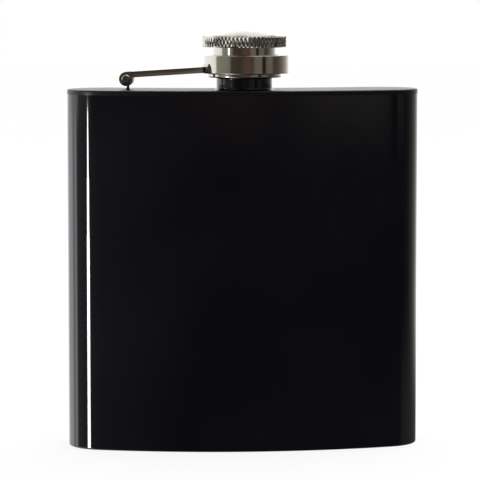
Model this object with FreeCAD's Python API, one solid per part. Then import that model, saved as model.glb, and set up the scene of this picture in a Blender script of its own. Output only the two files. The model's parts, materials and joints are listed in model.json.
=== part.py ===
import FreeCAD, Part
import math
import os

# Hip flask with a captive screw cap, in millimetres.
# +Z is up, X runs across the width and the convex front faces -Y.
# The origin is on the flat underside, straight below the axis of the neck.

Vector = FreeCAD.Vector
UP = Vector(0, 0, 1)

# Body: a curved box of constant thickness with round ends
body_width = 95.0
body_thickness = 21.0
body_curve_radius = 130.0       # of the middle line, seen from above
body_height = 96.8              # underside to shoulder
sheet = 0.5                     # steel sheet of the wall, the shoulder and the base
rim_bevel = 0.3                 # of the ground outer edges of the shoulder and the base
rim_height = 1.3                # from a plate's face to its butt weld with the wall

# Neck: a turned spout, swaged into the shoulder
mouth_radius = 5.3
spout_radius = 6.1              # the plain surface below the thread
spout_height = 10.35            # shoulder to rim
spout_rim_bevel = 0.25
collar_radius = 7.5
collar_edge_bevel = 0.25
weld_width = 0.6                # weld bead round the foot of the collar
swage_lip = 0.8                 # width of the lip turned out below the shoulder plate
swage_thickness = 0.4

# Cap: a knurled head pressed on a drawn cup, with a soft washer inside
thread_room = 1.15              # between the plain spout and the plain bore of the cup
cup_wall = 1.25
cup_top_wall = 1.0
cup_height = 9.53               # mouth of the cup to its closed top
cup_mouth_bevel = 0.3
lip_width = 1.5                 # how far the lip stands out from the cup
lip_thickness = 1.11
lip_upper_bevel = 0.2
lip_lower_bevel = 0.3           # the lip thins towards its lower edge
gasket_thickness = 1.5
gasket_gap = 0.2                # round the washer, inside the cup
collar_gap = 0.1                # between the closed cap and the collar
head_radius = 11.45
head_height = 3.0               # the knurled band
head_bevel = 0.22
head_seat_depth = 1.45          # how deep the cup is pressed into the head
dome_radius = 8.7               # seen from above
dome_step = 0.2
dome_rise = 1.45
knurl_pitch = 1.1               # round the head
knurl_tilt = 25.0               # degrees from upright, to both sides
knurl_depth = 0.26
knurl_half_angle = 65.0         # of the V-shaped grooves, which meet in points

# Captive ring, loose on the cup, carried by the arm
ring_slack = 0.75               # radial play of the ring on the cup
ring_near_gap = 0.22            # what is left of it on the hinge side
ring_wall = 2.25
ring_height = 4.87
ring_edge_bevel = 0.25

# Hinge and arm
hinge_reach = 31.45             # neck axis to hinge pin, across the width
pin_height = 2.8                # above the shoulder
pin_radius = 0.75
pin_play = 0.05                 # radial, in the knuckle
pin_head_radius = 1.15
pin_head_height = 0.35
pin_head_bevel = 0.2
knuckle_radius = 1.5
knuckle_width = 1.8
knuckle_side_gap = 0.2
knuckle_fork_gap = 0.9          # between the knuckle and the root of the fork
stem_thickness = 0.7
stem_offset = 0.4               # from below the pin, towards the neck
stem_foot_round = 0.6
cheek_thickness = 1.1
eye_radius = 1.9
arm_thickness = 1.6
arm_seat_height = 0.95          # middle of the arm above the lower face of the ring
arm_taper_start = 3.0           # from the pin to where the arm begins to spread
arm_spread = 36.0               # half angle of the ring that the arm's end covers
saddle_half_angle = 34.0        # how far the saddle reaches round the ring, each way
saddle_height = 2.55
saddle_edge = 0.3               # thickness at its upper and lower edges
saddle_depth = 0.8              # from the ring to where the saddle runs into the arm

# Levels of the closed cap, from the rim that the washer rests on
rim_level = body_height + spout_height
cup_inner_top_level = rim_level + gasket_thickness
cup_top_level = cup_inner_top_level + cup_top_wall
cup_mouth_level = cup_top_level - cup_height
ring_level = cup_mouth_level + lip_thickness
head_level = cup_top_level - head_seat_depth
head_top_level = head_level + head_height
pin_level = body_height + pin_height

# Radii of what fits round what
cup_bore_radius = spout_radius + thread_room
cup_radius = cup_bore_radius + cup_wall
ring_inner_radius = cup_radius + ring_slack
ring_radius = ring_inner_radius + ring_wall
ring_shift = ring_slack - ring_near_gap
fork_slot = knuckle_width + 2 * knuckle_side_gap
arm_width = fork_slot + 2 * cheek_thickness

# The arm lies along a line from the pin to the neck axis
pin_back = body_curve_radius - math.sqrt(body_curve_radius ** 2 - hinge_reach ** 2)
arm_line_angle = math.degrees(math.atan2(pin_back, hinge_reach))
pin_distance = math.hypot(hinge_reach, pin_back)


def outlined_face(points):
    """Face inside a closed outline of straight edges."""
    return Part.Face(Part.makePolygon(points + points[:1]))


def upright(across, along):
    """Point in the plane of the neck axis."""
    return Vector(across, 0, along)


def flat(across, along):
    """Point in a level plane."""
    return Vector(across, along, 0)


def turned(corners):
    """Solid of revolution about the neck axis from (radius, level, bevel) corners."""
    points = []
    for index, (radius, level, bevel) in enumerate(corners):
        corner = upright(radius, level)
        if bevel == 0:
            points.append(corner)
            continue
        for neighbour in (corners[index - 1], corners[(index + 1) % len(corners)]):
            toward = (upright(*neighbour[:2]) - corner).normalize()
            points.append(corner + toward * bevel)
    return outlined_face(points).revolve(Vector(), UP, 360)


def moved(shape, x=0.0, y=0.0, z=0.0):
    """The shape, shifted."""
    result = shape.copy()
    result.translate(Vector(x, y, z))
    return result


def across_pin(radius, width):
    """Cylinder of a given width, centred on the hinge pin."""
    start = Vector(-pin_distance, -width / 2, pin_level)
    return Part.makeCylinder(radius, width, start, Vector(0, 1, 0))


def on_arm_line(shape):
    """Turn a piece drawn along X to where the arm lies on the curved shoulder."""
    result = shape.copy()
    result.rotate(Vector(), UP, -arm_line_angle)
    return result


def body_outline(inset, level):
    """The body seen from above, drawn in by an inset, as a face at a level."""
    half = body_thickness / 2
    end_angle = math.asin((body_width / 2 - half) / body_curve_radius)
    centre = Vector(0, body_curve_radius, level)

    def on_curve(radius, angle):
        return centre + Vector(radius * math.sin(angle), -radius * math.cos(angle), 0)

    front = body_curve_radius + half - inset
    back = body_curve_radius - half + inset
    edges = [Part.Arc(on_curve(radius, -end_angle), on_curve(radius, 0), on_curve(radius, end_angle))
             for radius in (front, back)]
    for side in (-1, 1):
        angle = side * end_angle
        outward = Vector(side * math.cos(angle), side * math.sin(angle), 0)
        tip = on_curve(body_curve_radius, angle) + outward * (half - inset)
        edges.append(Part.Arc(on_curve(front, angle), tip, on_curve(back, angle)))
    return Part.Face(Part.Wire(Part.__sortEdges__([edge.toShape() for edge in edges])))


def level_edges(shape, level):
    """Edges that lie flat at one level."""
    return [edge for edge in shape.Edges
            if max(abs(edge.BoundBox.ZMin - level), abs(edge.BoundBox.ZMax - level)) < 1e-6]


def pressed_plate():
    """Pressed plate with its face at z = 0, its rim turned down and its outer edge ground off."""
    outside = body_outline(0, -rim_height).extrude(UP * rim_height)
    outside = outside.makeChamfer(rim_bevel, level_edges(outside, 0))
    return outside.cut(body_outline(sheet, -rim_height).extrude(UP * (rim_height - sheet)))


def body_shell():
    """Side wall, between the rims of the two plates."""
    height = body_height - 2 * rim_height
    outside = body_outline(0, rim_height).extrude(UP * height)
    return outside.cut(body_outline(sheet, rim_height).extrude(UP * height))


def base_plate():
    """Base, face down and rim up."""
    return pressed_plate().mirror(Vector(), UP)


def shoulder_plate():
    """Shoulder, with the hole that the neck's spigot fills."""
    hole = Part.makeCylinder(spout_radius, sheet, Vector(0, 0, -sheet))
    return moved(pressed_plate().cut(hole), z=body_height)


def neck():
    """Spout, collar and the swaged lip that grips the shoulder plate from below."""
    collar_top = cup_mouth_level - collar_gap
    under_plate = body_height - sheet
    lip_bottom = under_plate - swage_thickness
    return turned([
        (mouth_radius, lip_bottom, 0),
        (spout_radius + swage_lip, lip_bottom, 0),
        (spout_radius + swage_lip, under_plate, 0),
        (spout_radius, under_plate, 0),
        (spout_radius, body_height, 0),
        (collar_radius + weld_width, body_height, 0),
        (collar_radius, body_height + weld_width, 0),
        (collar_radius, collar_top, collar_edge_bevel),
        (spout_radius, collar_top, 0),
        (spout_radius, rim_level, spout_rim_bevel),
        (mouth_radius, rim_level, spout_rim_bevel)])


def cap_barrel():
    """Drawn cup with the lip that keeps the ring on."""
    lip_radius = cup_radius + lip_width
    return turned([
        (0, cup_inner_top_level, 0),
        (cup_bore_radius, cup_inner_top_level, 0),
        (cup_bore_radius, cup_mouth_level + cup_mouth_bevel, 0),
        (cup_bore_radius + cup_mouth_bevel, cup_mouth_level, 0),
        (lip_radius, cup_mouth_level, lip_lower_bevel),
        (lip_radius, ring_level, lip_upper_bevel),
        (cup_radius, ring_level, 0),
        (cup_radius, cup_top_level, 0),
        (0, cup_top_level, 0)])


def cap_gasket():
    """Soft washer between the cup's closed top and the spout's rim."""
    radius = cup_bore_radius - gasket_gap
    return Part.makeCylinder(radius, gasket_thickness, Vector(0, 0, rim_level))


def plain_head():
    """Head before knurling: a bevelled band, a flat margin and a shallow dome."""
    band = turned([
        (0, cup_top_level, 0),
        (cup_radius, cup_top_level, 0),
        (cup_radius, head_level, 0),
        (head_radius - head_bevel, head_level, 0),
        (head_radius, head_level + head_bevel, 0),
        (head_radius, head_top_level - head_bevel, 0),
        (head_radius - head_bevel, head_top_level, 0),
        (0, head_top_level, 0)])
    dome_level = head_top_level + dome_step
    sphere_radius = (dome_radius ** 2 + dome_rise ** 2) / (2 * dome_rise)
    sphere = Part.makeSphere(sphere_radius, Vector(0, 0, dome_level + dome_rise - sphere_radius))
    column = Part.makeCylinder(dome_radius, dome_step + dome_rise, Vector(0, 0, head_top_level))
    return band.fuse(column.common(sphere)).removeSplitter()


def knurl_grooves(tilt):
    """One family of slanting V-shaped grooves, evenly spaced round the head."""
    outside = head_radius + knurl_depth
    half_width = 2 * knurl_depth * math.tan(math.radians(knurl_half_angle))
    length = 2 * head_height / math.cos(math.radians(tilt))
    corners = [flat(head_radius - knurl_depth, 0), flat(outside, half_width), flat(outside, -half_width)]
    groove = moved(outlined_face(corners), z=-length / 2).extrude(UP * length)
    groove.rotate(Vector(), Vector(1, 0, 0), tilt)
    groove.translate(Vector(0, 0, head_level + head_height / 2))
    count = round(2 * math.pi * head_radius / knurl_pitch)
    grooves = []
    for index in range(count):
        copy = groove.copy()
        copy.rotate(Vector(), UP, 360 * index / count)
        grooves.append(copy)
    return Part.makeCompound(grooves)


def cap_head():
    """Head with a diamond knurl, where two families of grooves cross."""
    head = plain_head()
    for tilt in (-knurl_tilt, knurl_tilt):
        head = head.cut(knurl_grooves(tilt))
    return head


def arm_ring():
    """Loose ring, resting on the cup's lip and drawn away from the hinge."""
    top = ring_level + ring_height
    ring = turned([
        (ring_inner_radius, ring_level, ring_edge_bevel),
        (ring_radius, ring_level, ring_edge_bevel),
        (ring_radius, top, ring_edge_bevel),
        (ring_inner_radius, top, ring_edge_bevel)])
    return on_arm_line(moved(ring, x=ring_shift))


def arm_bar():
    """Bar with a round eye at the pin, as the meeting of its side view and its plan."""
    to_ring = pin_distance + ring_shift - ring_radius
    offset = eye_radius - arm_thickness / 2
    rise = ring_level + arm_seat_height - pin_level - offset
    slope = math.atan2(rise, to_ring)
    reach = to_ring + ring_radius
    start = Vector(-pin_distance, 0, pin_level)
    ahead = Vector(math.cos(slope), 0, math.sin(slope))
    square = Vector(-math.sin(slope), 0, math.cos(slope))
    lower = start + square * (eye_radius - arm_thickness)
    upper = start + square * eye_radius
    span = 2 * ring_radius
    outline = outlined_face([lower, lower + ahead * reach, upper + ahead * reach, upper])
    side = moved(outline, y=-span / 2).extrude(Vector(0, span, 0))
    side = side.fuse(across_pin(eye_radius, span))

    angle = math.radians(arm_spread)
    wall_x = ring_shift - ring_radius * math.cos(angle)
    wall_y = ring_radius * math.sin(angle)
    tail_x = -pin_distance - eye_radius
    taper_x = -pin_distance + arm_taper_start
    half = arm_width / 2
    plan = outlined_face([flat(tail_x, -half), flat(taper_x, -half), flat(wall_x, -wall_y),
                          flat(wall_x, wall_y), flat(taper_x, half), flat(tail_x, half)])
    bar = side.common(plan.extrude(UP * 2 * rim_level))
    return bar.cut(Part.makeCylinder(ring_radius, 2 * rim_level, Vector(ring_shift, 0, 0)))


def arm_saddle():
    """Curved foot of the arm, brazed to the outside of the ring."""
    middle = ring_level + arm_seat_height
    bottom = ring_level
    top = ring_level + saddle_height
    outer = ring_radius + saddle_depth
    lower_arc = Part.Arc(upright(ring_radius + saddle_edge, bottom),
                         upright(ring_radius + saddle_depth / 2, bottom + saddle_edge / 2),
                         upright(outer, middle - arm_thickness / 2))
    upper_arc = Part.Arc(upright(outer, middle + arm_thickness / 2),
                         upright(ring_radius + saddle_depth / 2, middle + arm_thickness * 0.75),
                         upright(ring_radius + saddle_edge, top))
    corners = [upper_arc.EndPoint, upright(ring_radius, top), upright(ring_radius, bottom),
               lower_arc.StartPoint]
    edges = [lower_arc.toShape(), upper_arc.toShape(),
             Part.makeLine(lower_arc.EndPoint, upper_arc.StartPoint)]
    edges += [Part.makeLine(first, last) for first, last in zip(corners, corners[1:])]
    face = Part.Face(Part.Wire(Part.__sortEdges__(edges)))
    saddle = face.revolve(Vector(), UP, 2 * saddle_half_angle)
    saddle.rotate(Vector(), UP, 180 - saddle_half_angle)
    return moved(saddle, x=ring_shift)


def cap_arm():
    """Arm from the forked eye to the saddle on the ring."""
    arm = arm_bar().fuse(arm_saddle())
    arm = arm.cut(across_pin(knuckle_radius + knuckle_fork_gap, fork_slot))
    arm = arm.cut(across_pin(pin_radius, 2 * arm_width))
    return on_arm_line(arm.removeSplitter())


def hinge_post():
    """Lug on the shoulder: a flared foot, a thin stem and one knuckle."""
    centre = -pin_distance + stem_offset
    half = stem_thickness / 2
    foot = half + stem_foot_round
    fillet_level = body_height + stem_foot_round
    edges = [Part.makeLine(upright(centre - foot, body_height), upright(centre + foot, body_height)),
             Part.makeLine(upright(centre + half, pin_level), upright(centre - half, pin_level))]
    for side in (-1, 1):
        hollow = Vector(centre + side * foot, 0, fillet_level)
        toward = Vector(-side, 0, -1).normalize() * stem_foot_round
        ankle = upright(centre + side * half, fillet_level)
        edges.append(Part.Arc(upright(centre + side * foot, body_height), hollow + toward, ankle).toShape())
        edges.append(Part.makeLine(ankle, upright(centre + side * half, pin_level)))
    face = Part.Face(Part.Wire(Part.__sortEdges__(edges)))
    stem = moved(face, y=-knuckle_width / 2).extrude(Vector(0, knuckle_width, 0))
    lug = stem.fuse(across_pin(knuckle_radius, knuckle_width))
    lug = lug.cut(across_pin(pin_radius + pin_play, 2 * knuckle_width))
    return on_arm_line(lug.removeSplitter())


def hinge_pin():
    """Rivet through the fork and the knuckle, with a low round head at each end."""
    shank_end = arm_width / 2
    head_end = shank_end + pin_head_height
    pin = turned([
        (0, -head_end, 0),
        (pin_head_radius, -head_end, pin_head_bevel),
        (pin_head_radius, -shank_end, 0),
        (pin_radius, -shank_end, 0),
        (pin_radius, shank_end, 0),
        (pin_head_radius, shank_end, 0),
        (pin_head_radius, head_end, pin_head_bevel),
        (0, head_end, 0)])
    pin.rotate(Vector(), Vector(1, 0, 0), 90)
    return on_arm_line(moved(pin, x=-pin_distance, z=pin_level))


PIECES = (body_shell, shoulder_plate, base_plate, neck, hinge_post, hinge_pin,
          cap_arm, arm_ring, cap_head, cap_barrel, cap_gasket)

os.makedirs("parts", exist_ok=True)
for piece in PIECES:
    shape = piece()
    shape.exportStep("parts/" + piece.__name__ + ".step")
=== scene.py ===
"""Hip flask with a captive screw cap: its fine forms, its finishes, and the studio that it stands in.

Every length is in metres, in the frame of the construction model. Levels come from that model's boxes.
"""

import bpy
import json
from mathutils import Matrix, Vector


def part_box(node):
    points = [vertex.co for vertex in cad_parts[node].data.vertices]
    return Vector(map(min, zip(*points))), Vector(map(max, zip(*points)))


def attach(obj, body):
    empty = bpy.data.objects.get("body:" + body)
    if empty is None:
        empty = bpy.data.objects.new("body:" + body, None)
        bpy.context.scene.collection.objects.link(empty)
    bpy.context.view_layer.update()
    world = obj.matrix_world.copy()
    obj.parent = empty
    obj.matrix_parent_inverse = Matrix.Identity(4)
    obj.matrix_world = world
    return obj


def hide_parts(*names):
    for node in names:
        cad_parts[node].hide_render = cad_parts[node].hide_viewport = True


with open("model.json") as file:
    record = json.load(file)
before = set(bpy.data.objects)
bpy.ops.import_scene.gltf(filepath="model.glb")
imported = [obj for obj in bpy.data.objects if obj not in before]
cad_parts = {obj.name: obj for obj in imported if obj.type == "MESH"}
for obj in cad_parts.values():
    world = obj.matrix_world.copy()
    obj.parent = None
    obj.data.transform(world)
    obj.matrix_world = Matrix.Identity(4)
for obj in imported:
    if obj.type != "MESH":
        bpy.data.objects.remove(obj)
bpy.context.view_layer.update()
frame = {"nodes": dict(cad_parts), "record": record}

import json
import logging
import math
from dataclasses import dataclass, field
from enum import Enum
from typing import Any, Callable, ClassVar, Iterable, Optional, Sequence, Union

import bpy
from mathutils import Matrix, Vector

LOG = logging.getLogger("hip_flask")
MM = 0.001
FULL_TURN = 2 * math.pi
SMOOTH_ANGLE = math.radians(32)
MERGE = 2e-6
FLAT_ANGLE = math.radians(0.4)
LEVEL = 1e-3
SUPPORT = 0.04
FINE_STEPS = 128
SHEET = 0.5
THREAD_STEPS = 48
THREAD_PITCH = 1.9
THREAD_TURNS = 3
THREAD_FOOT = 0.42
THREAD_CREST = 0.12
THREAD_SINK = 0.05

Colour = tuple[float, float, float]
Corner = tuple[float, float, float]
Edge = tuple[float, float]
Ramp = tuple[tuple[float, Colour], ...]
Number = Union[float, "Value"]


class Body(Enum):
    """Moving bodies of the flask."""

    FLASK = "flask"
    ARM = "arm"
    CAP = "cap"


class Slot(Enum):
    """Material slots of the record."""

    PAINT = "black_paint"
    BRIGHT = "bright_metal"
    SEAL = "soft_seal"


@dataclass(frozen=True)
class Noise:
    """Grain of a noise: waves per metre, octaves, share of the finer octaves, scale along each axis."""

    scale: float
    detail: float = 3.0
    roughness: float = 0.5
    stretch: Corner = (1.0, 1.0, 1.0)


# Shader arithmetic


class Value:
    """A shader socket that takes part in Python arithmetic."""

    def __init__(self, graph: "Graph", socket: bpy.types.NodeSocket) -> None:
        """Wraps a socket.

        Args:
            graph: The graph that the socket's node belongs to.
            socket: The output socket.
        """
        self.graph = graph
        self.socket = socket

    def _maths(self, operation: str, first: Number, second: Number = 0.0) -> "Value":
        """Adds one Math node.

        Args:
            operation: The node's operation.
            first: Its first value.
            second: Its second value.

        Returns:
            The node's output.
        """
        return self.graph.node("ShaderNodeMath", {0: first, 1: second}, operation=operation)

    def __add__(self, other: Number) -> "Value":
        """Sum."""
        return self._maths("ADD", self, other)

    __radd__ = __add__

    def __sub__(self, other: Number) -> "Value":
        """Difference."""
        return self._maths("SUBTRACT", self, other)

    def __rsub__(self, other: Number) -> "Value":
        """Difference, the other way round."""
        return self._maths("SUBTRACT", other, self)

    def __mul__(self, other: Number) -> "Value":
        """Product."""
        return self._maths("MULTIPLY", self, other)

    __rmul__ = __mul__

    def __neg__(self) -> "Value":
        """Negative."""
        return self * -1.0

    def angle_from(self, other: "Value") -> "Value":
        """Angle whose sine side is this value and whose cosine side is another, in radians."""
        return self._maths("ARCTAN2", self, other)

    def largest(self, other: Number) -> "Value":
        """The larger of two values."""
        return self._maths("MAXIMUM", self, other)

    def smooth(self, low: float, high: float) -> "Value":
        """0 below one limit, 1 above the other, and a smooth rise between.

        Args:
            low: Where the rise starts.
            high: Where it ends.

        Returns:
            The stepped value.
        """
        return self.graph.node("ShaderNodeMapRange", {"Value": self, "From Min": low, "From Max": high},
                               interpolation_type="SMOOTHSTEP")


class Graph:
    """A node tree that is filled from expressions."""

    def __init__(self, tree: bpy.types.NodeTree) -> None:
        """Empties a tree.

        Args:
            tree: The material's or world's tree.
        """
        self.tree = tree
        tree.nodes.clear()

    def node(self, kind: str, inputs: Optional[dict[Any, Any]] = None, output: Any = 0,
             **settings: Any) -> Value:
        """Adds one node.

        Args:
            kind: The node's type.
            inputs: Values or links, by socket name or number.
            output: Name or number of the output that is returned.
            **settings: Its properties. "stops" holds a ramp's positions and colours.

        Returns:
            The chosen output.
        """
        made = self.tree.nodes.new(kind)
        for name, setting in settings.items():
            if name == "stops":
                self._fill_ramp(made.color_ramp, setting)
            else:
                setattr(made, name, setting)
        for name, given in (inputs or {}).items():
            if isinstance(given, Value):
                self.tree.links.new(given.socket, made.inputs[name])
            else:
                made.inputs[name].default_value = given
        return Value(self, made.outputs[output]) if made.outputs else None

    @staticmethod
    def _fill_ramp(ramp: bpy.types.ColorRamp, stops: Sequence[tuple[float, Colour]]) -> None:
        """Sets a colour ramp's stops.

        Args:
            ramp: The ramp.
            stops: Positions from 0 to 1, rising, with their colours.
        """
        while len(ramp.elements) < len(stops):
            ramp.elements.new(1.0)
        for element, (position, colour) in zip(ramp.elements, stops):
            element.position = position
            element.color = (*colour, 1.0)

    def place(self) -> Value:
        """Object coordinates."""
        return self.node("ShaderNodeTexCoord", output="Object")

    def split(self, vector: Value) -> list[Value]:
        """Parts of a vector along X, Y and Z."""
        made = self.node("ShaderNodeSeparateXYZ", {0: vector}).socket.node
        return [Value(self, socket) for socket in made.outputs]

    def rays(self, *names: str) -> list[Value]:
        """Kinds of ray, by name: 1 for a ray of that kind, else 0."""
        made = self.node("ShaderNodeLightPath").socket.node
        return [Value(self, made.outputs[name]) for name in names]

    def noise(self, grain: Noise, finer: float = 1.0) -> Value:
        """Noise on object coordinates.

        Args:
            grain: The noise's grain.
            finer: Factor on its scale.

        Returns:
            The noise, from 0 to 1.
        """
        where = self.node("ShaderNodeMapping", {"Vector": self.place(), "Scale": grain.stretch})
        return self.node("ShaderNodeTexNoise", {
            "Vector": where, "Scale": grain.scale * finer, "Detail": grain.detail,
            "Roughness": grain.roughness})

    def mix(self, share: Number, first: Any, second: Any) -> Value:
        """Blend of two colours.

        Args:
            share: Share of the second colour.
            first: First colour.
            second: Second colour.

        Returns:
            The blended colour.
        """
        first, second = (given if isinstance(given, Value) else (*given, 1.0) for given in (first, second))
        return self.node("ShaderNodeMix", {0: share, 6: first, 7: second}, 2, data_type="RGBA")

    def bump(self, height: Value, strength: float, distance: float) -> Value:
        """Normal from a height.

        Args:
            height: The height, from 0 to 1.
            strength: The bump's strength.
            distance: Depth of a height of 1.

        Returns:
            The normal.
        """
        return self.node("ShaderNodeBump", {"Strength": strength, "Distance": distance, "Height": height})


# Finishes


@dataclass(frozen=True)
class Finish:
    """A finish that covers whole pieces."""

    name: str
    slot: ClassVar[Slot]

    def material(self) -> bpy.types.Material:
        """The finish's material, made once."""
        found = bpy.data.materials.get(self.name)
        if found:
            return found
        made = bpy.data.materials.new(self.name)
        made.use_nodes = True
        graph = Graph(made.node_tree)
        graph.node("ShaderNodeOutputMaterial", {"Surface": self.shader(graph)})
        return made

    def shader(self, graph: Graph) -> Value:
        """Builds the surface.

        Args:
            graph: The material's graph.

        Returns:
            The surface shader.
        """
        raise NotImplementedError


@dataclass(frozen=True)
class BlackEnamel(Finish):
    """Sprayed gloss black over steel sheet."""

    name: str = "black_enamel"
    colour: Colour = (0.0008, 0.0008, 0.0014)
    bloom: Colour = (0.0015, 0.0015, 0.0023)
    gloss: float = 0.045
    haze: float = 0.03
    index: float = 1.56
    peel_depth: float = 0.012 * MM
    peel_strength: float = 0.05
    clouds: Noise = Noise(38.0, 4.0)
    wipe: Noise = Noise(160.0, 5.0, 0.6, (1.0, 1.0, 0.18))
    peel: Noise = Noise(620.0, 2.0, 0.4)
    patches: Edge = (0.35, 0.7)
    slot: ClassVar[Slot] = Slot.PAINT

    def shader(self, graph: Graph) -> Value:
        """Near-black paint with faint orange peel and uneven polish."""
        clouds = graph.noise(self.clouds)
        colour = graph.mix(clouds.smooth(*self.patches), self.colour, self.bloom)
        roughness = self.gloss + self.haze * graph.noise(self.wipe) * clouds
        return graph.node("ShaderNodeBsdfPrincipled", {
            "Base Color": colour, "Roughness": roughness, "IOR": self.index,
            "Normal": graph.bump(graph.noise(self.peel), self.peel_strength, self.peel_depth)})


@dataclass(frozen=True)
class BrightPlate(Finish):
    """Polished nickel-chrome plate."""

    name: str = "bright_plate"
    colour: Colour = (0.60, 0.58, 0.54)
    shade: Colour = (0.53, 0.51, 0.46)
    polish: float = 0.03
    haze: float = 0.05
    ripple: float = 0.04
    ripple_depth: float = 0.01 * MM
    finer: float = 1.0
    clouds: Noise = Noise(240.0, 4.0)
    buff: Noise = Noise(900.0, 3.0, 0.6, (1.0, 1.0, 5.0))
    patches: Edge = (0.3, 0.75)
    slot: ClassVar[Slot] = Slot.BRIGHT

    def tone(self, graph: Graph, clouds: Value) -> Value:
        """Colour of the metal.

        Args:
            graph: The material's graph.
            clouds: The noise that shades it.

        Returns:
            The colour.
        """
        return graph.mix(clouds.smooth(*self.patches), self.colour, self.shade)

    def shader(self, graph: Graph) -> Value:
        """Bright metal with faint buffing marks."""
        clouds, buff = graph.noise(self.clouds, self.finer), graph.noise(self.buff, self.finer)
        return graph.node("ShaderNodeBsdfPrincipled", {
            "Base Color": self.tone(graph, clouds), "Metallic": 1.0,
            "Roughness": self.polish + self.haze * buff * clouds,
            "Normal": graph.bump(buff, self.ripple, self.ripple_depth)})


@dataclass(frozen=True)
class JointShadePlate(BrightPlate):
    """Plate with painted shade, a dark brown patch where the bar meets the ring, that dims the bright
    reflection there.
    """

    start: float = -11.7 * MM
    end: float = -10.1 * MM
    top: float = 103.2 * MM
    blend: float = 0.4 * MM
    # Painted shade: dark brown laid across the joint where the bar flares into the ring, in place of the
    # bright reflection there.
    joint_shade: Colour = (0.075, 0.06, 0.042)

    def tone(self, graph: Graph, clouds: Value) -> Value:
        """Colour of the metal, darkened across the joint with painted shade."""
        # Mask of the painted shade: the strip where the bar meets the ring, below its top.
        across, _, upward = graph.split(graph.place())
        joint = (across.smooth(self.start, self.start + self.blend)
                 * (1.0 - upward.smooth(self.top - self.blend, self.top))
                 * (1.0 - across.smooth(self.end - self.blend, self.end)))
        return graph.mix(joint, super().tone(graph, clouds), self.joint_shade)


@dataclass(frozen=True)
class SealRubber(Finish):
    """Soft white washer."""

    name: str = "seal_rubber"
    colour: Colour = (0.74, 0.73, 0.69)
    stain: Colour = (0.62, 0.60, 0.55)
    dull: float = 0.42
    haze: float = 0.2
    ripple: float = 0.2
    ripple_depth: float = 0.02 * MM
    clouds: Noise = Noise(500.0, 4.0)
    patches: Edge = (0.4, 0.8)
    slot: ClassVar[Slot] = Slot.SEAL

    def shader(self, graph: Graph) -> Value:
        """Matt silicone with faint mottling."""
        clouds = graph.noise(self.clouds)
        return graph.node("ShaderNodeBsdfPrincipled", {
            "Base Color": graph.mix(clouds.smooth(*self.patches), self.colour, self.stain),
            "Roughness": self.dull + self.haze * clouds,
            "Normal": graph.bump(clouds, self.ripple, self.ripple_depth)})


ENAMEL = BlackEnamel()
PLATE = BrightPlate()
STEEL = BrightPlate("bare_steel", (0.52, 0.51, 0.49), (0.44, 0.43, 0.41), polish=0.16, haze=0.12, ripple=0.25)
SHOULDER = BlackEnamel("shoulder_enamel", gloss=0.31, haze=0.12, index=1.4)
HEAD = BrightPlate("head_plate", polish=0.07, haze=0.10)
# The arm's plate carries painted shade across its joint with the ring.
ARM = JointShadePlate("arm_plate", (0.56, 0.53, 0.47), (0.49, 0.46, 0.40), polish=0.06, haze=0.08, ripple=0.1)
RIVET = BrightPlate("rivet_plate", (0.62, 0.60, 0.56), (0.20, 0.19, 0.17), polish=0.10, haze=0.16, ripple=1.0,
                    finer=4.0)
SEAL = SealRubber()


# Studio


@dataclass
class Camera:
    """Camera at the flask's left front, a little above it."""

    azimuth: float = -0.069688
    distance: float = 0.750549
    height: float = 0.127826
    pan: float = 0.001538
    pitch: float = 0.09519
    lens: float = 209.37

    def build(self) -> None:
        """Makes the camera and gives it to the scene."""
        data = bpy.data.cameras.new("studio_camera")
        data.sensor_width = 36.0
        data.lens = self.lens
        data.clip_start = 0.01
        data.clip_end = 50.0
        camera = bpy.data.objects.new("studio_camera", data)
        camera.location = (self.distance * math.sin(self.azimuth), -self.distance * math.cos(self.azimuth),
                           self.height)
        heading = self.azimuth + self.pan
        forward = Vector((-math.sin(heading) * math.cos(self.pitch), math.cos(heading) * math.cos(self.pitch),
                          -math.sin(self.pitch)))
        camera.rotation_euler = forward.to_track_quat("-Z", "Y").to_euler()
        bpy.context.scene.collection.objects.link(camera)
        bpy.context.scene.camera = camera


def share_of_turn(degrees: float) -> float:
    """A bearing from -180 to 180 degrees as a share of the whole turn."""
    return (degrees + 180) / 360


@dataclass(frozen=True)
class Sky:
    """Directions of the room, as values of the world's shader."""

    bearing: Value
    along: Value
    upward: Value

    def past(self, degrees: float, width: float) -> Value:
        """1 to the right of a bearing, 0 to its left.

        Args:
            degrees: The bearing from straight in front of the flask, negative to the left.
            width: Width of the blend, in degrees.

        Returns:
            The stepped value.
        """
        half = width / 2
        return self.bearing.smooth(share_of_turn(degrees - half), share_of_turn(degrees + half))

    def beyond(self, start: float, end: float) -> Value:
        """0 at the horizon, 1 further up than a level, or further down where the level is negative.

        Args:
            start: Sine of the height where the blend starts.
            end: Sine of the height where it ends.

        Returns:
            The stepped value.
        """
        return self.upward.smooth(start, end) if end > 0 else (-self.upward).smooth(-start, -end)


@dataclass(frozen=True)
class Region:
    """Part of the room with a tone of its own. An edge is a bearing and its blend's width, in degrees."""

    tone: Colour
    levels: Edge
    left: Optional[Edge] = None
    right: Optional[Edge] = None
    front: Optional[Edge] = None
    left_tone: Optional[Colour] = None
    change: Edge = (-28, 44)
    gap: Optional[tuple[Edge, Edge]] = None
    gap_depth: float = 0.9

    def share(self, sky: Sky) -> Value:
        """How much of the region lies in each direction.

        Args:
            sky: The room's directions.

        Returns:
            The share, from 0 to 1.
        """
        share = sky.beyond(*self.levels)
        if self.front:
            share = share * (-sky.along).smooth(*self.front)
        if self.left:
            share = share * sky.past(*self.left)
        if self.right:
            share = share * (1.0 - sky.past(*self.right))
        if self.gap:
            first, last = self.gap
            share = share * (1.0 - self.gap_depth * sky.past(*first) * (1.0 - sky.past(*last)))
        return share


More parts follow.
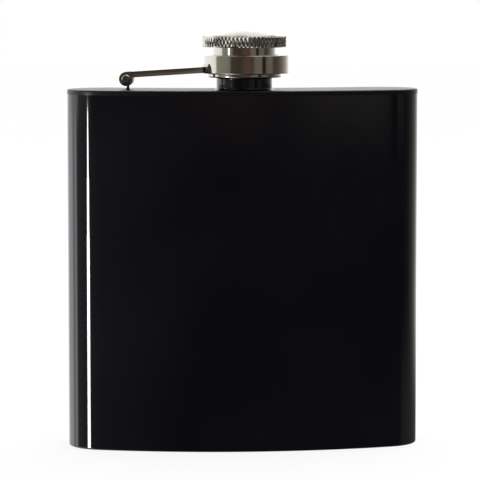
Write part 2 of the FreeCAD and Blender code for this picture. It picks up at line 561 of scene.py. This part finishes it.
@dataclass
class Surroundings:
    """The room that the bright and the glossy surfaces mirror: a white sweep behind, a dim room in front."""

    tones: Ramp = (
        (-180, (1.0, 1.0, 1.0)), (-124, (0.98, 0.98, 0.97)), (-96, (0.93, 0.93, 0.92)),
        (-90, (0.30, 0.29, 0.21)), (-84, (0.24, 0.24, 0.18)), (-60, (0.20, 0.20, 0.18)),
        (-50, (0.18, 0.17, 0.15)), (-44, (0.055, 0.045, 0.036)), (-20, (0.044, 0.034, 0.026)),
        (-8, (0.070, 0.050, 0.040)), (3, (0.10, 0.055, 0.035)), (12, (0.06, 0.045, 0.035)),
        (22, (0.14, 0.125, 0.10)), (37, (0.15, 0.13, 0.11)), (42, (0.016, 0.013, 0.011)),
        (47, (0.018, 0.014, 0.013)), (54, (0.13, 0.11, 0.09)), (68, (0.13, 0.12, 0.10)),
        (76, (0.055, 0.045, 0.033)), (92, (0.08, 0.065, 0.05)), (108, (0.17, 0.16, 0.145)),
        (128, (0.40, 0.37, 0.34)), (145, (0.80, 0.78, 0.74)), (165, (1.0, 1.0, 1.0)),
        (180, (1.0, 1.0, 1.0)))
    low_tones: Ramp = (
        (-180, (0.95, 0.95, 0.97)), (-141, (0.94, 0.95, 0.98)), (-132, (1.20, 1.20, 1.26)),
        (-125, (1.48, 1.48, 1.55)), (-119, (0.88, 0.88, 0.92)), (-112, (0.88, 0.88, 0.93)),
        (-108, (1.55, 1.55, 1.62)), (-103, (1.50, 1.50, 1.58)), (-99, (0.32, 0.32, 0.35)),
        (-95, (0.19, 0.19, 0.21)), (-84, (0.17, 0.17, 0.19)), (-66, (0.13, 0.13, 0.15)),
        (-61, (0.07, 0.07, 0.085)), (-44, (0.045, 0.04, 0.04)))
    low_start: Edge = (-0.042, -0.058)
    low_end: Edge = (-0.18, -0.22)
    low_right: Edge = (-52, 12)
    regions: tuple[Region, ...] = (
        Region((0.030, 0.030, 0.036), (-0.04, -0.07), left=(-52, 12), front=(-0.1, 0.25),
               left_tone=(0.11, 0.105, 0.10)),
        Region((0.12, 0.115, 0.11), (-0.11, -0.16), left=(70, 20)),
        Region((1.1, 1.08, 1.05), (-0.18, -0.24), left=(-125, 10), right=(-44, 6)),
        Region((1.0, 1.0, 0.98), (0.08, 0.2), right=(-86, 10)),
        Region((0.030, 0.026, 0.024), (0.08, 0.2), left=(-86, 10), right=(15, 20)),
        Region((0.72, 0.71, 0.68), (0.35, 0.75), gap=((-45, 26), (8, 26))))
    gain: float = 1.35
    fill: Colour = (1.0, 1.0, 1.0)
    backdrop: Colour = (1.0, 1.0, 1.0)

    def lit(self, tone: Colour) -> Colour:
        """Brings a tone, as the plate shows it, to the room's own brightness."""
        return tuple(part * self.gain for part in tone)

    def build(self) -> None:
        """Makes the world."""
        world = bpy.data.worlds.new("studio_world")
        world.use_nodes = True
        bpy.context.scene.world = world
        graph = Graph(world.node_tree)
        across, along, upward = graph.split(graph.node("ShaderNodeTexCoord", output="Generated"))
        sky = Sky(across.angle_from(-along) * (1 / FULL_TURN) + 0.5, along, upward)
        around, below = (graph.node("ShaderNodeValToRGB", {0: sky.bearing}, stops=[
            (share_of_turn(degrees), self.lit(tone)) for degrees, tone in tones])
            for tones in (self.tones, self.low_tones))
        low = sky.beyond(*self.low_start) * (1.0 - sky.beyond(*self.low_end))
        low = low * (1.0 - sky.past(*self.low_right))
        room = graph.mix(low, around, below)
        for region in self.regions:
            tone = self.lit(region.tone)
            if region.left_tone:
                tone = graph.mix(sky.past(*region.change), self.lit(region.left_tone), tone)
            room = graph.mix(region.share(sky), room, tone)
        camera, glossy, through = graph.rays("Is Camera Ray", "Is Glossy Ray", "Is Transmission Ray")
        seen = graph.mix(camera.largest(through), graph.mix(glossy, self.fill, room), self.backdrop)
        light = graph.node("ShaderNodeBackground", {"Color": seen, "Strength": 1.0})
        graph.node("ShaderNodeOutputWorld", {"Surface": light})


@dataclass(frozen=True)
class Lamp:
    """A rectangular soft lamp that faces a point."""

    name: str
    place: Corner
    target: Corner
    width: float
    height: float
    radiance: float
    lit: tuple[str, ...] = ()

    def build(self) -> None:
        """Makes the lamp. After the pieces, when it lights only some of them."""
        data = bpy.data.lights.new(self.name, "AREA")
        data.shape = "RECTANGLE"
        data.size = self.width
        data.size_y = self.height
        data.energy = self.radiance * math.pi * self.width * self.height
        lamp = bpy.data.objects.new(self.name, data)
        lamp.location = self.place
        toward = Vector(self.target) - Vector(self.place)
        lamp.rotation_euler = toward.to_track_quat("-Z", "Y").to_euler()
        bpy.context.scene.collection.objects.link(lamp)
        if self.lit:
            lamp.light_linking.receiver_collection = bpy.data.collections.new(f"lit_by_{self.name}")
            for name in self.lit:
                lamp.light_linking.receiver_collection.objects.link(bpy.data.objects[name])


@dataclass
class SideWindow:
    """Tall bright opening on the left, wider towards its foot: the line down the rounded end mirrors it.

    Each step is its top, its bottom and its width.
    """

    across: float = -0.563
    along: float = -0.331
    aim: float = -0.037
    radiance: float = 30.0
    steps: tuple[Corner, ...] = (
        (0.062, 0.050, 0.030), (0.050, 0.028, 0.044), (0.028, 0.000, 0.070),
        (0.000, -0.040, 0.092), (-0.040, -0.085, 0.094), (-0.085, -0.140, 0.096))
    lit: tuple[str, ...] = ("body_wall", "shoulder_face", "base_face", "neck_collar", "cap_cup")

    def build(self) -> None:
        """Makes one lamp for each step."""
        for number, (top, bottom, width) in enumerate(self.steps):
            middle = (top + bottom) / 2
            Lamp(f"side_window_{number}", (self.across, self.along, middle), (self.aim, 0.0, middle), width,
                 top - bottom, self.radiance, self.lit).build()


@dataclass
class Floor:
    """White sweep that the flask stands on."""

    size: float = 6.0
    drop: float = -0.00002
    colour: Colour = (0.96, 0.96, 0.96)
    pale: Colour = (0.97, 0.97, 0.97)
    paleness: float = 0.82
    soft: Noise = Noise(3.0, 2.0)

    def build(self) -> None:
        """Makes the floor."""
        bpy.ops.mesh.primitive_plane_add(size=self.size, location=(0, 0, self.drop))
        floor = bpy.context.object
        floor.name = "studio_floor"
        floor.visible_glossy = False
        floor.visible_shadow = False
        material = bpy.data.materials.new("white_sweep")
        material.use_nodes = True
        graph = Graph(material.node_tree)
        surface = graph.node("ShaderNodeBsdfPrincipled", {
            "Base Color": graph.mix(graph.noise(self.soft), self.colour, self.pale), "Roughness": 0.9,
            "Specular IOR Level": 0.0})
        camera, through = graph.rays("Is Camera Ray", "Is Transmission Ray")
        white = graph.node("ShaderNodeEmission", {"Color": (1.0, 1.0, 1.0, 1.0), "Strength": 1.0})
        share = camera.largest(through) * self.paleness
        mixed = graph.node("ShaderNodeMixShader", {0: share, 1: surface, 2: white})
        graph.node("ShaderNodeOutputMaterial", {"Surface": mixed})
        floor.data.materials.append(material)


@dataclass
class Studio:
    """Camera, room, lamps and floor."""

    camera: Camera = field(default_factory=Camera)
    room: Surroundings = field(default_factory=Surroundings)
    window: SideWindow = field(default_factory=SideWindow)
    floor: Floor = field(default_factory=Floor)
    overhead: Lamp = Lamp("overhead", (0.25, 0.25, 0.85), (0.0, 0.0, 0.05), 0.9, 0.9, 1.0)
    strip: Lamp = Lamp("cup_strip", (-0.551, -0.297, 0.0945), (0.0, 0.0, 0.0945), 0.085, 0.014, 2.6,
                       ("cap_cup",))

    def build(self) -> None:
        """Makes everything that isn't the flask."""
        scene = bpy.context.scene
        scene.view_settings.view_transform = "Standard"
        self.camera.build()
        self.room.build()
        self.floor.build()
        self.overhead.build()
        LOG.info("studio ready")

    def light(self) -> None:
        """Makes the lamps that light only some pieces."""
        self.window.build()
        self.strip.build()


# Bench


Test = Callable[[Vector], bool]
Profile = Sequence[tuple[float, float, float]]


def rounded_line(corners: Profile, steps: int = 4, closed: bool = True) -> list[tuple[float, float]]:
    """Draws a profile whose corners are rounded, with a point beside each rounding that keeps its flats flat.

    Args:
        corners: (radius, level, rounding) of each corner, in millimetres.
        steps: Chords of one rounding.
        closed: Whether the last corner meets the first.

    Returns:
        The profile's points.
    """
    line: list[tuple[float, float]] = []
    last = len(corners) - 1
    for index, (radius, level, rounding) in enumerate(corners):
        here = Vector((radius, level))
        if rounding == 0 or (not closed and index in (0, last)):
            line.append((radius, level))
            continue
        back = (Vector(corners[index - 1][:2]) - here).normalized()
        ahead = (Vector(corners[(index + 1) % len(corners)][:2]) - here).normalized()
        half = back.angle(ahead) / 2
        reach = rounding / math.tan(half)
        centre = here + (back + ahead).normalized() * (rounding / math.sin(half))
        first, final = here + back * reach - centre, here + ahead * reach - centre
        bend = first.angle_signed(final)
        line.append(tuple(here + back * (reach + SUPPORT)))
        turns = [Matrix.Rotation(-bend * step / steps, 2) for step in range(steps + 1)]
        line += [tuple(centre + turn @ first) for turn in turns]
        line.append(tuple(here + ahead * (reach + SUPPORT)))
    return line


def clear_bench() -> None:
    """Leaves edit mode and selects nothing."""
    active = bpy.context.view_layer.objects.active
    if active and active.mode == "EDIT":
        bpy.ops.object.mode_set(mode="OBJECT")
    bpy.ops.object.select_all(action="DESELECT")


def hold(*bodies: bpy.types.Object) -> None:
    """Leaves edit mode, selects these objects alone and makes the last one active."""
    clear_bench()
    for body in bodies:
        body.select_set(True)
    bpy.context.view_layer.objects.active = bodies[-1]


class Piece:
    """A mesh on the bench, shaped with Blender's own tools."""

    def __init__(self, name: str) -> None:
        """Puts an empty mesh on the bench, in edit mode.

        Args:
            name: The piece's name.
        """
        clear_bench()
        bpy.ops.mesh.primitive_plane_add(size=MM)
        self.body = bpy.context.object
        self.body.name = name
        self.body.data.name = name
        bpy.ops.object.mode_set(mode="EDIT")
        bpy.ops.mesh.select_mode(type="VERT")
        bpy.ops.mesh.select_all(action="SELECT")
        bpy.ops.mesh.delete(type="VERT")

    @classmethod
    def copied(cls, name: str, node: str) -> "Piece":
        """Puts a merged copy of a construction node on the bench.

        Args:
            name: The piece's name.
            node: The node that is copied.

        Returns:
            The piece, in edit mode, with all of it selected.
        """
        piece = cls.__new__(cls)
        clear_bench()
        piece.body = bpy.data.objects.new(name, frame["nodes"][node].data.copy())
        bpy.context.scene.collection.objects.link(piece.body)
        hold(piece.body)
        piece.body.data.materials.clear()
        bpy.ops.object.mode_set(mode="EDIT")
        bpy.ops.mesh.select_mode(type="VERT")
        bpy.ops.mesh.select_all(action="SELECT")
        bpy.ops.mesh.remove_doubles(threshold=MERGE)
        bpy.ops.mesh.dissolve_limited(angle_limit=FLAT_ANGLE)
        return piece

    def point(self, place: Corner) -> "Piece":
        """Adds one point and selects it alone.

        Args:
            place: Where it is, in millimetres.

        Returns:
            The piece.
        """
        bpy.ops.mesh.select_all(action="DESELECT")
        bpy.ops.mesh.primitive_plane_add(size=MM, location=Vector(place) * MM)
        bpy.ops.mesh.merge(type="CENTER")
        return self

    def chain(self, line: Iterable[Corner]) -> "Piece":
        """Draws a line of edges from point to point.

        Args:
            line: The points, in millimetres.

        Returns:
            The piece, with the last point selected.
        """
        line = [Vector(place) for place in line]
        self.point(line[0])
        for before, place in zip(line, line[1:]):
            self.pull(place - before)
        return self

    def pull(self, by: Corner) -> "Piece":
        """Extrudes what is selected.

        Args:
            by: How far, in millimetres.

        Returns:
            The piece.
        """
        bpy.ops.mesh.extrude_region_move(TRANSFORM_OT_translate={"value": Vector(by) * MM})
        return self

    def everything(self) -> "Piece":
        """Selects the whole piece."""
        bpy.ops.mesh.select_all(action="SELECT")
        return self

    def pick(self, test: Test, kind: str = "VERT") -> "Piece":
        """Selects the points, edges or faces whose every corner passes a test.

        Args:
            test: The test of a corner's place, in millimetres.
            kind: "VERT", "EDGE" or "FACE".

        Returns:
            The piece.
        """
        bpy.ops.mesh.select_mode(type=kind)
        bpy.ops.mesh.select_all(action="DESELECT")
        bpy.ops.object.mode_set(mode="OBJECT")
        mesh = self.body.data
        passed = [test(corner.co / MM) for corner in mesh.vertices]
        if kind == "VERT":
            for corner, chosen in zip(mesh.vertices, passed):
                corner.select = chosen
        else:
            for part in (mesh.edges if kind == "EDGE" else mesh.polygons):
                part.select = all(passed[index] for index in part.vertices)
        bpy.ops.object.mode_set(mode="EDIT")
        return self

    def scale(self, factors: Corner, centre: Corner = (0, 0, 0)) -> "Piece":
        """Scales what is selected about a centre in millimetres."""
        bpy.ops.transform.resize(value=factors, center_override=Vector(centre) * MM)
        return self

    def spin(self, degrees: float, steps: int, centre: Corner = (0, 0, 0), axis: Corner = (0, 0, 1),
             copies: bool = False) -> "Piece":
        """Spins what is selected about an axis.

        Args:
            degrees: The turn, anticlockwise along the axis.
            steps: Steps of the turn.
            centre: A point of the axis, in millimetres.
            axis: Its direction.
            copies: Whether copies are set round instead of a swept surface.

        Returns:
            The piece.
        """
        bpy.ops.mesh.spin(steps=steps, dupli=copies, angle=-math.radians(degrees),
                          center=Vector(centre) * MM, axis=axis)
        return self

    def weld(self, outward: bool = True) -> "Piece":
        """Merges doubles all over, and may turn the normals out."""
        self.everything()
        bpy.ops.mesh.remove_doubles(threshold=MERGE)
        if outward:
            bpy.ops.mesh.normals_make_consistent(inside=False)
        return self

    def modify(self, kind: str, **settings: Any) -> "Piece":
        """Adds a modifier and applies it.

        Args:
            kind: The modifier's type.
            **settings: Its properties.

        Returns:
            The piece, in edit mode.
        """
        bpy.ops.object.mode_set(mode="OBJECT")
        made = self.body.modifiers.new(kind.lower(), kind)
        for name, setting in settings.items():
            setattr(made, name, setting)
        bpy.ops.object.modifier_apply(modifier=made.name)
        bpy.ops.object.mode_set(mode="EDIT")
        return self

    def join(self, *others: "Piece") -> "Piece":
        """Takes other pieces, which are off the bench, into this one.

        Args:
            *others: The other pieces.

        Returns:
            The piece, in edit mode.
        """
        hold(*(piece.body for piece in (*others, self)))
        bpy.ops.object.join()
        return self.back()

    def aside(self) -> "Piece":
        """Takes the piece off the bench."""
        clear_bench()
        return self

    def back(self) -> "Piece":
        """Puts the piece back on the bench, in edit mode."""
        hold(self.body)
        bpy.ops.object.mode_set(mode="EDIT")
        return self

    def done(self, finish: Finish, body: Body, *nodes: str, smooth: float = SMOOTH_ANGLE) -> None:
        """Shades, dresses and mounts the piece.

        Args:
            finish: Its finish.
            body: The body that it rides on.
            *nodes: The construction nodes that it stands for.
            smooth: The largest angle that is shaded smooth.
        """
        hold(self.body)
        bpy.ops.object.shade_smooth_by_angle(angle=smooth)
        bpy.ops.object.transform_apply(location=True, rotation=True, scale=True)
        self.body.data.materials.clear()
        self.body.data.materials.append(finish.material())
        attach(self.body, body.value)
        if nodes:
            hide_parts(*nodes)
        faces = len(self.body.data.polygons)
        LOG.info("%s: %d faces, %s, on %s", self.body.name, faces, finish.name, body.value)


def lathed(name: str, line: Sequence[tuple[float, float]], steps: int = 96, centre: Corner = (0, 0, 0),
           closed: bool = True) -> Piece:
    """Turns a profile about an upright axis.

    Args:
        name: The piece's name.
        line: (radius, level) points, in millimetres.
        steps: Steps of the whole turn.
        centre: A point of the axis, in millimetres.
        closed: Whether the profile's last point meets its first.

    Returns:
        The piece, in edit mode.
    """
    middle = Vector(centre)
    places = [middle + Vector((radius, 0, level)) for radius, level in line]
    if closed:
        places.append(places[0])
    piece = Piece(name).chain(places)
    return piece.everything().spin(360, steps, centre).weld()


# Sub-assemblies


def levels(node: str) -> tuple[float, float]:
    """Lowest and highest level of a construction node, in millimetres."""
    low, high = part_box(node)
    return low[2] / MM, high[2] / MM


@dataclass
class FlaskBody:
    """Wrapped wall, shoulder and base: one closed curve seen from above, all in gloss black."""

    width: float = 95.0
    thickness: float = 21.0
    curve_radius: float = 130.0
    rim_round: float = 0.4
    rim_support: float = 0.12
    rim_steps: int = 5
    curve_steps: int = 56
    end_steps: int = 40
    neck_hole: float = 6.1
    hole_reach: float = 3.0

    def outline(self, name: str, height: float) -> Piece:
        """Draws the body's outline with four spins of one point.

        Args:
            name: The piece's name.
            height: Level of the outline.

        Returns:
            The closed outline, in edit mode.
        """
        half = self.thickness / 2
        end_angle = math.asin((self.width / 2 - half) / self.curve_radius)
        front = self.curve_radius + half
        middle = (0, self.curve_radius, height)
        ends = [(side * self.curve_radius * math.sin(end_angle),
                 self.curve_radius * (1 - math.cos(end_angle)), height) for side in (1, -1)]
        turn = 2 * math.degrees(end_angle)
        start = (-front * math.sin(end_angle), self.curve_radius - front * math.cos(end_angle), height)
        piece = Piece(name).point(start)
        piece.spin(turn, self.curve_steps, middle).spin(180, self.end_steps, ends[0])
        piece.spin(-turn, self.curve_steps, middle).spin(180, self.end_steps, ends[1])
        return piece.weld(outward=False)

    def wall(self) -> None:
        """Wraps the wall between the two plates."""
        low, high = levels("body_shell")
        piece = self.outline("body_wall", low).pull((0, 0, high - low)).weld()
        piece.modify("SOLIDIFY", thickness=SHEET * MM, offset=-1.0, use_even_offset=True)
        piece.done(ENAMEL, Body.FLASK, "body_shell")

    def plate(self, name: str, node: str, face: float, rim: float, finish: Finish,
              hole: bool = False) -> None:
        """Presses one plate: a flat face, a rim turned towards the wall and a ground edge.

        Args:
            name: The piece's name.
            node: The construction node that it stands for.
            face: Level of its outer face.
            rim: Level of its rim's end.
            finish: Its finish.
            hole: Whether it has the neck's hole.
        """
        piece = self.outline(name, face)
        bpy.ops.mesh.edge_face_add()
        piece.pull((0, 0, rim - face))
        piece.weld().pick(lambda place: abs(place.z - rim) < LEVEL, "FACE")
        bpy.ops.mesh.delete(type="ONLY_FACE")
        piece.everything()
        piece.modify("SOLIDIFY", thickness=SHEET * MM, offset=-1.0, use_even_offset=True)
        piece.pick(lambda place: abs(place.z - face) < LEVEL, "EDGE")
        bpy.ops.mesh.bevel(offset=self.rim_round * MM, segments=self.rim_steps, profile=0.5, affect="EDGES")
        piece.pick(lambda place: abs(place.z - face) < LEVEL, "FACE")
        bpy.ops.mesh.inset(thickness=self.rim_support * MM)
        inward = math.copysign(self.rim_round + self.rim_support, rim - face)
        piece.everything()
        bpy.ops.mesh.bisect(plane_co=(0, 0, (face + inward) * MM), plane_no=(0, 0, 1))
        if hole:
            under, over = face - self.hole_reach, face + self.hole_reach
            cutter = lathed("neck_hole_cutter", [(0, under), (self.neck_hole, under), (self.neck_hole, over),
                                                 (0, over)], closed=False).aside()
            piece.back().modify("BOOLEAN", operation="DIFFERENCE", solver="EXACT", object=cutter.body)
            bpy.data.objects.remove(cutter.body, do_unlink=True)
        piece.done(finish, Body.FLASK, node)

    def build(self) -> None:
        """Makes the three pieces."""
        self.wall()
        low, high = levels("body_shell")
        self.plate("shoulder_face", "shoulder_plate", levels("shoulder_plate")[1], high, SHOULDER, True)
        self.plate("base_face", "base_plate", levels("base_plate")[0], low, ENAMEL)


@dataclass
class Neck:
    """Turned spout with a painted collar and a bare screw thread."""

    bore: float = 5.3
    spout: float = 6.1
    collar: float = 7.5
    weld: float = 0.6
    weld_skirt: float = 0.05
    swage: float = 6.9
    thread_crest: float = 6.57
    thread_start: float = 0.75
    mouth_gap: float = 0.1
    foot_round: float = 0.1
    rim_round: float = 0.25

    def build(self) -> None:
        """Makes the collar, the spout and its thread."""
        foot, rim = levels("neck")
        shoulder = levels("shoulder_plate")[1]
        sheet_under = shoulder - SHEET
        collar_top = levels("cap_barrel")[0] - self.mouth_gap
        collar = lathed("neck_collar", rounded_line([
            (self.spout, foot, 0), (self.swage, foot, self.foot_round), (self.swage, sheet_under, 0),
            (self.spout, sheet_under, 0), (self.spout, shoulder, 0),
            (self.collar + self.weld + self.weld_skirt, shoulder, 0), (self.collar, shoulder, self.weld),
            (self.collar, collar_top, self.rim_round), (self.spout, collar_top, 0)]))
        collar.done(ENAMEL, Body.FLASK, "neck")
        spout = lathed("neck_spout", rounded_line([
            (self.bore, foot, self.foot_round), (self.spout, foot, 0), (self.spout, rim, self.rim_round),
            (self.bore, rim, self.rim_round)]))
        spout.done(STEEL, Body.FLASK)
        thread = helix("neck_thread", self.spout - THREAD_SINK, self.thread_crest,
                       collar_top + self.thread_start)
        thread.done(STEEL, Body.FLASK)


def helix(name: str, root: float, crest: float, start: float) -> Piece:
    """Winds a right-handed thread ridge with closed ends.

    Args:
        name: The piece's name.
        root: Radius of its foot.
        crest: Radius of its crest.
        start: Level of the ridge's middle where it starts.

    Returns:
        The piece, in edit mode.
    """
    section = [(root, 0, start - THREAD_FOOT), (crest, 0, start - THREAD_CREST),
               (crest, 0, start + THREAD_CREST), (root, 0, start + THREAD_FOOT)]
    piece = Piece(name).chain([*section, section[0]])
    piece.weld(outward=False)
    piece.modify("SCREW", angle=FULL_TURN, screw_offset=THREAD_PITCH * MM, iterations=THREAD_TURNS,
                 steps=THREAD_STEPS, render_steps=THREAD_STEPS, use_normal_calculate=True)
    for end in (start, start + THREAD_PITCH * THREAD_TURNS):
        near = THREAD_FOOT + LEVEL
        piece.pick(lambda place: abs(place.y) < LEVEL and place.x > 0 and abs(place.z - end) < near)
        bpy.ops.mesh.edge_face_add()
    return piece.weld()


def swing_line() -> tuple[Vector, Vector]:
    """The line that the arm swings about.

    Returns:
        A point of the line, in millimetres, and its direction.
    """
    joint = next(joint for joint in frame["record"]["behaviour"]["joints"] if joint["name"] == "arm_swing")
    return Vector(joint["pos_m"]) / MM, Vector(joint["axis"])


@dataclass
class Hinge:
    """Lug, rivet and arm."""

    pin_radius: float = 0.75
    head_radius: float = 1.15
    head_height: float = 0.35
    head_side: float = 0.16
    head_flat: float = 0.86
    flat_round: float = 0.1
    side_round: float = 0.06
    rivet_steps: int = 48
    arm_width: float = 4.4
    edge: float = 0.14
    edge_steps: int = 3
    edge_angle: float = math.radians(38)

    def build(self) -> None:
        """Makes the three pieces."""
        centre, axis = swing_line()
        shank = self.arm_width / 2
        end, side = shank + self.head_height, shank + self.head_side
        half = rounded_line([
            (0, end, 0), (self.head_radius * self.head_flat, end, self.flat_round),
            (self.head_radius, side, self.side_round), (self.head_radius, shank, 0),
            (self.pin_radius, shank, 0)], closed=False)
        line = half + [(radius, -along) for radius, along in reversed(half)]
        places = [centre + axis * along + Vector((0, 0, radius)) for radius, along in line]
        rivet = Piece("hinge_rivet").chain(places).everything()
        rivet.spin(360, self.rivet_steps, centre, axis).weld().done(RIVET, Body.ARM, "hinge_pin")
        for name, node, finish, body in (("arm_strap", "cap_arm", ARM, Body.ARM),
                                         ("hinge_lug", "hinge_post", ENAMEL, Body.FLASK)):
            piece = Piece.copied(name, node)
            piece.modify("BEVEL", width=self.edge * MM, segments=self.edge_steps, limit_method="ANGLE",
                         angle_limit=self.edge_angle, use_clamp_overlap=True)
            piece.done(finish, body, node)


@dataclass
class CaptiveRing:
    """Loose ring that the cap turns in."""

    inner: float = 9.25
    outer: float = 11.5
    shift: float = 0.53
    edge: float = 0.15

    def build(self) -> None:
        """Makes the ring."""
        toward = -swing_line()[0]
        toward.z = 0
        centre = toward.normalized() * self.shift
        low, high = levels("arm_ring")
        ring = lathed("captive_ring", rounded_line([
            (self.inner, low, self.edge), (self.outer, low, self.edge),
            (self.outer, high, self.edge), (self.inner, high, self.edge)]), FINE_STEPS, centre)
        ring.done(PLATE, Body.ARM, "arm_ring")


@dataclass
class Washer:
    """Soft washer, with the groove that the spout's rim leaves."""

    radius: float = 7.05
    groove: tuple[float, float, float, float] = (4.9, 5.1, 6.2, 6.4)
    groove_depth: float = 0.15
    groove_round: float = 0.1
    bank_round: float = 0.08
    edge_round: float = 0.15
    steps: int = 64

    def build(self) -> None:
        """Makes the washer."""
        low, high = levels("cap_gasket")
        start, inner, outer, end = self.groove
        deep = low + self.groove_depth
        washer = lathed("cap_washer", rounded_line([
            (0, low, 0), (start, low, self.groove_round), (inner, deep, self.groove_round),
            (outer, deep, self.groove_round), (end, low, self.bank_round),
            (self.radius, low, self.edge_round), (self.radius, high, self.edge_round), (0, high, 0)],
            3, closed=False), self.steps, closed=False)
        washer.done(SEAL, Body.CAP, "cap_gasket")


@dataclass
class Cap:
    """Knurled head on a drawn, threaded cup with a soft washer."""

    bore: float = 7.25
    cup: float = 8.5
    lip: float = 10.0
    lip_height: float = 1.09
    wall: float = 1.0
    fine_round: float = 0.2
    mouth_round: float = 0.3
    lip_round: float = 0.35
    thread_crest: float = 6.63
    thread_start: float = 0.9
    head: float = 11.28
    head_edge: float = 11.06
    valley: float = 11.03
    band: float = 3.0
    dome: float = 8.7
    dome_step: float = 0.2
    dome_steps: int = 14
    dome_fillet: float = 0.1
    dome_round: float = 0.05
    margin: float = 0.08
    seat_gap: float = 0.05
    pick_reach: float = 0.05
    diamonds: int = 65
    tilt: float = 25.0
    facet_angle: float = math.radians(24)
    washer: Washer = field(default_factory=Washer)

    def cup_piece(self) -> None:
        """Makes the cup and its thread."""
        mouth, top = levels("cap_barrel")
        roof, lip_top = top - self.wall, mouth + self.lip_height
        cup = lathed("cap_cup", rounded_line([
            (0, roof, 0), (self.bore, roof, self.fine_round), (self.bore, mouth, self.mouth_round),
            (self.lip, mouth, self.lip_round), (self.lip, lip_top, self.fine_round),
            (self.cup, lip_top, self.fine_round), (self.cup, top, 0), (0, top, 0)], closed=False),
            FINE_STEPS, closed=False)
        cup.done(PLATE, Body.CAP, "cap_barrel")
        thread = helix("cap_thread", self.bore + THREAD_SINK, self.thread_crest, mouth + self.thread_start)
        thread.done(STEEL, Body.CAP)

    def knurl(self, low: float, high: float) -> Piece:
        """Makes the knurled band: one column of pyramids, then copies of it all round.

        Args:
            low: Level of the head's underside.
            high: Level of its flat margin.

        Returns:
            The band, off the bench.
        """
        pitch = 360 / self.diamonds
        middle = (low + high) / 2
        row = math.pi * self.head / self.diamonds / math.tan(math.radians(self.tilt))
        line = [(self.head_edge, 0, low), (self.head, 0, middle - row), (self.valley, 0, middle),
                (self.head, 0, middle + row), (self.head_edge, 0, high)]
        piece = Piece("knurled_band").chain(line).everything().spin(pitch, 2)
        half = math.radians(pitch / 2)

        def between(place: Vector) -> bool:
            """Whether a point is on the column's middle line."""
            return abs(math.atan2(place.y, place.x) - half) < half / 4

        for at, old, new in ((middle - row, self.head, self.valley), (middle, self.valley, self.head),
                             (middle + row, self.head, self.valley)):
            piece.pick(lambda place: between(place) and abs(place.z - at) < self.pick_reach)
            piece.scale((new / old, new / old, 1), (0, 0, at))
        piece.everything()
        bpy.ops.mesh.quads_convert_to_tris(quad_method="SHORTEST_DIAGONAL")
        piece.everything().spin(360 - pitch, self.diamonds - 1, copies=True).weld()
        return piece.aside()

    def head_piece(self) -> None:
        """Makes the head."""
        low, apex = levels("cap_head")
        high = low + self.band
        rise = apex - high - self.dome_step
        sphere = (self.dome ** 2 + rise ** 2) / (2 * rise)
        sweep = math.asin(self.dome / sphere)
        angles = [sweep * (1 - step / self.dome_steps) for step in range(self.dome_steps + 1)]
        crown = [(sphere * math.sin(angle), apex - sphere * (1 - math.cos(angle))) for angle in angles]
        top = rounded_line([(self.head_edge, high, 0), (self.dome + self.dome_fillet, high, self.dome_fillet),
                            (self.dome, high + self.dome_step, self.dome_round), (*crown[1], 0)], 3,
                           closed=False)
        inner = self.head_edge - self.margin
        seat = levels("cap_barrel")[1]
        band = self.knurl(low, high)
        cover = lathed("head_cover", [(self.head_edge, high), (inner, high), *top[1:-1], *crown[1:]],
                       FINE_STEPS, closed=False).aside()
        under = lathed("head_underside", [
            (self.head_edge, low), (inner, low), (self.cup + self.seat_gap, low),
            (self.cup, low + self.seat_gap), (self.cup, seat), (0, seat)], FINE_STEPS, closed=False).aside()
        band.join(cover, under).weld().done(HEAD, Body.CAP, "cap_head", smooth=self.facet_angle)

    def build(self) -> None:
        """Makes the cup, the washer and the head."""
        self.cup_piece()
        self.washer.build()
        self.head_piece()


def main() -> None:
    """Builds the studio and the flask."""
    logging.basicConfig(level=logging.INFO, format="%(name)s: %(message)s")
    studio = Studio()
    studio.build()
    for part in (FlaskBody(), Neck(), Hinge(), CaptiveRing(), Cap()):
        part.build()
        LOG.info("%s ready", type(part).__name__)
    studio.light()


if __name__ == "__main__":
    main()
